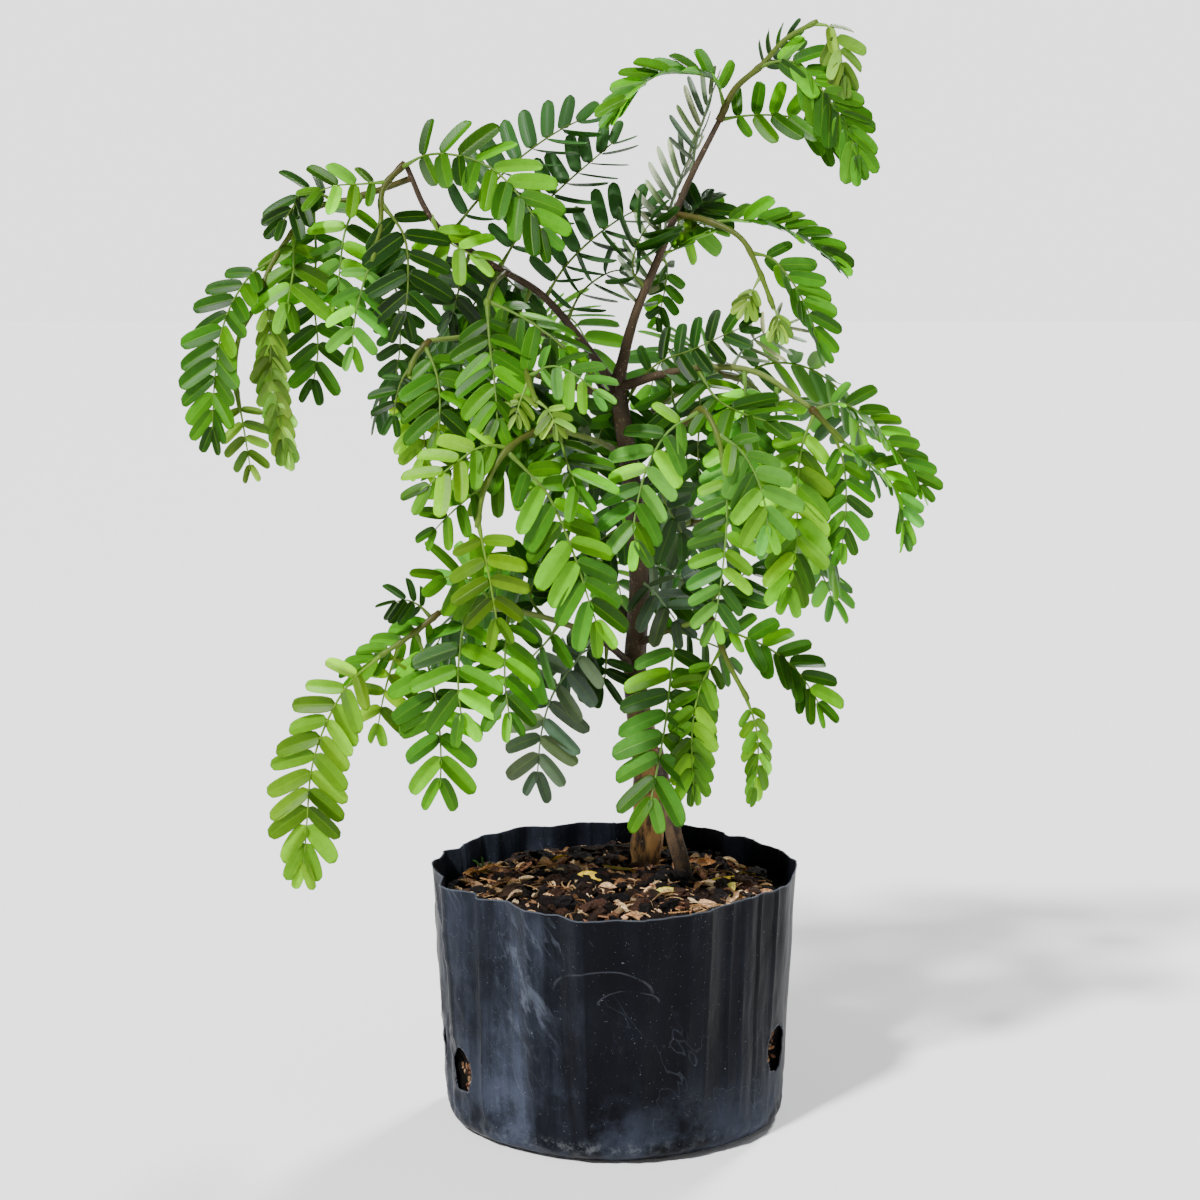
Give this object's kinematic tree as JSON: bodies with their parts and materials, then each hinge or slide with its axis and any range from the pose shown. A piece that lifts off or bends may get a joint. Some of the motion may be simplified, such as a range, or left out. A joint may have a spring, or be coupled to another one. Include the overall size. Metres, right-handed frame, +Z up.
{
  "type": "potted tamarind",
  "caption": "Young tamarind with arching feather-like leaves on a branched woody stem, growing in a filled pleated black polythene grow bag.",
  "frame": {"origin": "middle of the bag's flat bottom, on the ground", "axes": "+Z up through the bag, +X to the right and -Y towards the viewer of the front view"},
  "size_m": [0.4053, 0.2712, 0.5915],
  "materials": {
    "polythene": "satin",
    "bark_mix": "matte",
    "bark": "matte",
    "pale_bark": "matte",
    "leaf_young": "satin",
    "leaf_bright": "satin",
    "leaf_grey": "matte",
    "leaf_blue_green": "matte",
    "leaf_dark": "satin",
    "leaf_green": "satin"
  },
  "bodies": {
    "root": {"grow_bag": "polythene", "soil": "bark_mix", "trunk": "bark", "second_stem": "pale_bark", "top_spray": "leaf_green", "upper_grey_leaf": "leaf_grey", "lower_grey_leaf": "leaf_grey", "leader_left_leaf": "leaf_green", "leader_bright_leaf": "leaf_green", "leader_back_leaf": "leaf_green", "upper_right_spray": "leaf_green", "fork_dark_leaf": "leaf_dark", "right_grey_leaf": "leaf_grey", "back_dark_leaf_1": "leaf_dark", "back_dark_leaf_2": "leaf_dark", "back_dark_leaf_3": "leaf_dark", "back_dark_leaf_4": "leaf_dark", "upper_left_spray": "leaf_green", "outer_left_spray": "leaf_green", "centre_upper_spray": "leaf_green", "middle_left_spray": "leaf_green", "middle_leaf": "leaf_green", "young_spray": "leaf_young", "front_spray": "leaf_bright", "front_right_spray": "leaf_green", "right_hanging_leaf": "leaf_green", "right_spray": "leaf_green", "right_inner_leaf": "leaf_green", "right_upper_leaf": "leaf_green", "trunk_blue_leaf": "leaf_blue_green", "low_left_spray": "leaf_green", "low_left_hanging_leaf_1": "leaf_green", "low_left_hanging_leaf_2": "leaf_green", "low_left_top_leaf": "leaf_green", "low_blue_leaf": "leaf_blue_green", "low_right_spray": "leaf_green", "low_front_leaf": "leaf_green", "far_left_spray": "leaf_green", "far_right_spray": "leaf_green", "far_low_spray": "leaf_green", "far_low_right_spray": "leaf_green"}
  },
  "joints": []
}
